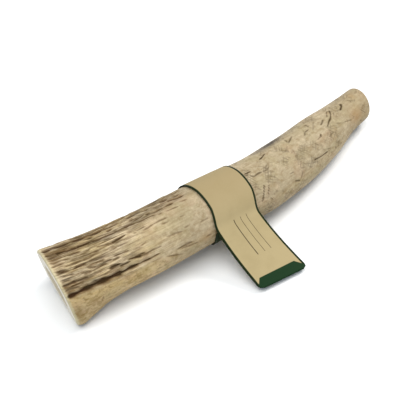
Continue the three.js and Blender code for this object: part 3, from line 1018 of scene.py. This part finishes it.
def bridge(before, after, count, pull):
    # a smooth curve from the end of one run of points to the start of the next
    start, finish = before[-1], after[0]
    gap = np.linalg.norm(finish - start) * pull
    leave = unit(before[-1] - before[-2]) * gap
    arrive = unit(after[1] - after[0]) * gap
    t = np.linspace(0, 1, count + 2)[1:-1, None]
    return ((2 * t ** 3 - 3 * t ** 2 + 1) * start + (t ** 3 - 2 * t ** 2 + t) * leave
            + (3 * t ** 2 - 2 * t ** 3) * finish + (t ** 3 - t ** 2) * arrive)


def stripLine(v):
    # one line along the whole strip: down from the tail's free end in its upper layer, round the
    # beam and back in the lower layer
    shares = 1 - np.linspace(0, 1, tag["tailRows"]) * (1 - tag["tailFree"])
    leftEdge = [tailPoint(np.array([q]), np.array([-1.0]), 0)[0] for q in (0.0, 1.0)]
    fromEnd = (1 - shares) * np.linalg.norm(leftEdge[1] - leftEdge[0])
    corner = tag["corner"]
    rounded = corner - np.sqrt(np.maximum(corner ** 2 - (corner - fromEnd) ** 2, 0))
    pulled = np.where(fromEnd < corner, rounded, 0)
    across = v * (1 - pulled / (tag["width"] / 2))
    half = tag["card"] / 2
    upper = tailPoint(shares, across, half + tag["glue"])
    lower = tailPoint(shares, across, -half - tag["glue"])[::-1]
    first, last = pinchAt(v) + tag["upperHug"], pinchAt(v) + 360 - tag["lowerHug"]
    loop = loopPoint(np.linspace(first, last, tag["loopRows"]), np.full(tag["loopRows"], v), half)
    over = bridge(upper, loop, tag["bendRows"], tag["upperPull"])
    under = bridge(loop, lower, tag["bendRows"], tag["lowerPull"])
    return np.vstack([upper, over, loop, under, lower])


def makeStrip():
    columns = tag["columns"]
    across = np.linspace(-1, 1, columns)
    points = np.stack([stripLine(v) for v in across], 1)
    rows = len(points)
    steps = np.linalg.norm(np.diff(points[:, columns // 2], axis=0), axis=1)
    travelled = np.concatenate([[0], np.cumsum(steps)])
    # where on the flat strip each point lies, and how long the strip is
    strip = np.stack([np.repeat(travelled, columns), np.tile(across * tag["width"] / 2, rows),
                      np.full(rows * columns, travelled[-1])], -1)
    placed = points.reshape(-1, 3) + np.array(beam["place"])
    return meshOf("tag_card", placed, gridFaces(rows, columns, False).tolist(), {"strip": strip})


def cardTree():
    # gives the strip its faint waves and its thickness
    tree, graph, given = geometryTree("card", ("Card Thickness", "Wave Height", "Seed"), "Kraft")
    thickness = given["Card Thickness"]
    normal = graph.add("GeometryNodeInputNormal")
    wave = graph.noise(graph.stored("strip", "FLOAT_VECTOR"), 0.09, given["Seed"], 1) - 0.5
    offset = graph.along(normal, (wave * given["Wave Height"] - thickness * 0.5) * mm)
    sheet = graph.add("GeometryNodeSetPosition", None, {"Geometry": given["Geometry"], "Offset": offset})
    under = graph.add("GeometryNodeFlipFaces", None, {"Mesh": sheet})
    inputs = {"Mesh": sheet, "Offset Scale": thickness * mm, "Individual": False}
    upper = graph.add("GeometryNodeExtrudeMesh", {"mode": "FACES"}, inputs)
    cutEdge = Wire(graph, upper.socket.node.outputs["Side"])
    upper = graph.store(upper, "cutEdge", cutEdge, "FACE")
    join = graph.tree.nodes.new("GeometryNodeJoinGeometry")
    for half in (under, upper):
        graph.tree.links.new(half.socket, join.inputs[0])
    inputs = {"Geometry": Wire(graph, join.outputs[0]), "Distance": 0.001 * mm}
    whole = graph.add("GeometryNodeMergeByDistance", None, inputs)
    finishTree(graph, whole, given["Kraft"])
    return tree


kraft = {
    "tail": tone(174, 156, 116),
    # painted shade: a darker kraft tone for the loop round the beam
    "bend": tone(156, 138, 102),
    "loopShadeFrom": (34, 60),  # mm from the free end over which the loop's painted shade comes in
    "cloud": tone(150, 132, 92),
    "fibreLight": tone(196, 180, 140),
    "fibreDark": tone(128, 108, 72),
    "green": tone(22, 50, 24),
    "greenWorn": tone(38, 66, 40),
    "edge": tone(26, 38, 12),
    "ink": tone(44, 34, 20),
    "soft": 0.08,  # mm over which a printed edge blurs
    "fray": 0.12,
    "ruleFade": 0.3,
    "shine": 0.12,
    "bumpStrength": 0.3,
    "bumpDepth": 0.08,  # mm
}


def kraftMaterial():
    material, graph = newMaterial("kraft_card")
    strip = graph.vector("strip")
    travelled, across, whole = graph.parts(strip)
    fromEnd = travelled.atMost(whole - travelled)
    upper = (whole * 0.5 - travelled).ramp(-0.1, 0.1)
    cloud = graph.noise(strip, 0.12, 1, 3, 0.55)
    fibres = graph.noise(graph.stretch(strip, (0.35, 2.2, 1)), 1.6, 3, 4, 0.7, 1.2)
    crossing = graph.noise(graph.stretch(strip, (2.4, 0.4, 1)), 1.5, 4, 4, 0.7, 1.2)

    soft = kraft["soft"]
    fray = (fibres - 0.5) * kraft["fray"]
    panel = tag["width"] / 2 - tag["stripe"]
    edgeLine = (abs(across) + fray).ramp(panel - soft, panel + soft)
    cornerCut = (abs(across) - (panel - tag["chamfer"])).atLeast(0)
    block = (fromEnd + cornerCut * 1.3 + fray).ramp(tag["block"] + soft, tag["block"] - soft)
    printed = edgeLine.atLeast(block)
    # guessed green print on the under layer, in the edge ink's dark green as painted shade in the fold
    backStart, backEnd = tag["backPrintAndShade"]
    back = (fromEnd - backStart).ramp(0, soft * 2) * (backEnd - fromEnd).ramp(0, soft * 2)

    layers = [
        # painted shade on the card's loop round the beam
        (fromEnd.ramp(*kraft["loopShadeFrom"]), "bend"),
        (cloud.ramp(0.4, 0.7) * 0.25, "cloud"),
        (fibres.ramp(0.6, 0.75) * 0.3, "fibreLight"),
        (crossing.ramp(0.62, 0.76) * 0.35, "fibreDark"),
        # painted shade in the fold, with guessed print, on the under layer only
        (back * (1 - upper), "edge"),
        (edgeLine, "edge"),
        (block, "block"),
    ]
    start, stop = tag["ruleSpan"]
    fade = kraft["ruleFade"]
    for place, half in tag["rules"]:
        line = abs(across - place).ramp(half + soft, half - soft)
        line = line * travelled.ramp(start, start + fade) * travelled.ramp(stop, stop - fade)
        layers.append((line * upper * (0.6 + crossing * 0.5), "ink"))
    # the card's cut edges in the stripe's dark green: partly ink at the edge, partly painted shade
    layers.append((graph.number("cutEdge") * 0.85, "edge"))
    green = graph.mix(crossing.ramp(0.5, 0.8) * 0.4, kraft["green"], kraft["greenWorn"])
    colour = graph.layered({**kraft, "block": green}, "tail", layers)

    height = fibres * 0.6 + crossing * 0.6 - printed * 0.3
    finishMaterial(graph, {
        "Base Color": colour,
        "Roughness": 0.72 - printed * 0.2 + (fibres - 0.5) * 0.2,
        "Normal": graph.bump(height, kraft["bumpStrength"], kraft["bumpDepth"]),
        "Specular IOR Level": kraft["shine"],
    })
    return material


def makeTag():
    thing = makeStrip()
    values = {"Card Thickness": tag["card"], "Wave Height": tag["wave"], "Seed": tag["seed"]}
    dressedBy(thing, cardTree(), {**values, "Kraft": kraftMaterial()})
    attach(thing, "root")
    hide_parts("paper_tag")
    print("tag:", len(thing.data.polygons), "faces")


# The photograph's place in the room: the camera looks down on the part from the butt's side.
# Its distance and target are in mm.
camera = {
    "azimuth": -37.95,
    "elevation": 52,
    "distance": 503.6,
    "target": (-6.56, 29.14, 0.04),
    "fieldOfView": 24,
    "sensorWidth": 36,
    "clipStart": 0.01,
}

# Lamps stand round the middle of the floor, in metres
studio = {
    "floorSize": 8,
    "floorTone": (0.93, 0.93, 0.93, 1),
    "floorRoughness": 0.9,
    "floorShine": 0.1,
    "air": (0.78, 0.88, 1.0, 1),
    "airStrength": 0.54,
    "lamps": {
        "overhead": {"azimuth": -95, "elevation": 80, "distance": 1.0, "size": 0.9, "power": 8},
        "right": {"azimuth": 92, "elevation": 52, "distance": 1.0, "size": 0.4, "power": 5},
    },
    "lampColour": (1, 0.98, 0.94),
}


def backFrom(view):
    # from what is looked at towards the eye or the lamp
    a = math.radians(view["azimuth"])
    e = math.radians(view["elevation"])
    return Vector((math.sin(a) * math.cos(e), -math.cos(a) * math.cos(e), math.sin(e)))


def stood(name, data, back, place):
    thing = linked(name, data)
    thing.location = place
    thing.rotation_euler = (-back).to_track_quat("-Z", "Y").to_euler()
    return thing


def makeCamera():
    data = bpy.data.cameras.new("camera")
    data.sensor_width = camera["sensorWidth"]
    data.lens = camera["sensorWidth"] / 2 / math.tan(math.radians(camera["fieldOfView"] / 2))
    data.clip_start = camera["clipStart"]
    back = backFrom(camera)
    place = (Vector(camera["target"]) + back * camera["distance"]) * mm
    bpy.context.scene.camera = stood("camera", data, back, place)
    print("camera set")


def makeFloor():
    half = studio["floorSize"] / 2
    corners = [(-half, -half, 0), (half, -half, 0), (half, half, 0), (-half, half, 0)]
    mesh = bpy.data.meshes.new("floor")
    mesh.from_pydata(corners, [], [(0, 1, 2, 3)])
    material, graph = newMaterial("floor_white")
    finishMaterial(graph, {"Base Color": studio["floorTone"], "Roughness": studio["floorRoughness"],
                           "Specular IOR Level": studio["floorShine"]})
    mesh.materials.append(material)
    floor = linked("floor", mesh)


def makeLight():
    world = bpy.data.worlds.new("studio")
    world.use_nodes = True
    background = world.node_tree.nodes["Background"]
    background.inputs["Color"].default_value = studio["air"]
    background.inputs["Strength"].default_value = studio["airStrength"]
    bpy.context.scene.world = world
    for name, lamp in studio["lamps"].items():
        data = bpy.data.lights.new(name, "AREA")
        data.shape = "DISK"
        data.size = lamp["size"]
        data.energy = lamp["power"]
        data.color = studio["lampColour"]
        back = backFrom(lamp)
        stood(name, data, back, back * lamp["distance"])
    bpy.context.scene.view_settings.view_transform = "Standard"
    print("studio set")


makeCamera()
makeAntler()
makeTag()
makeFloor()
makeLight()
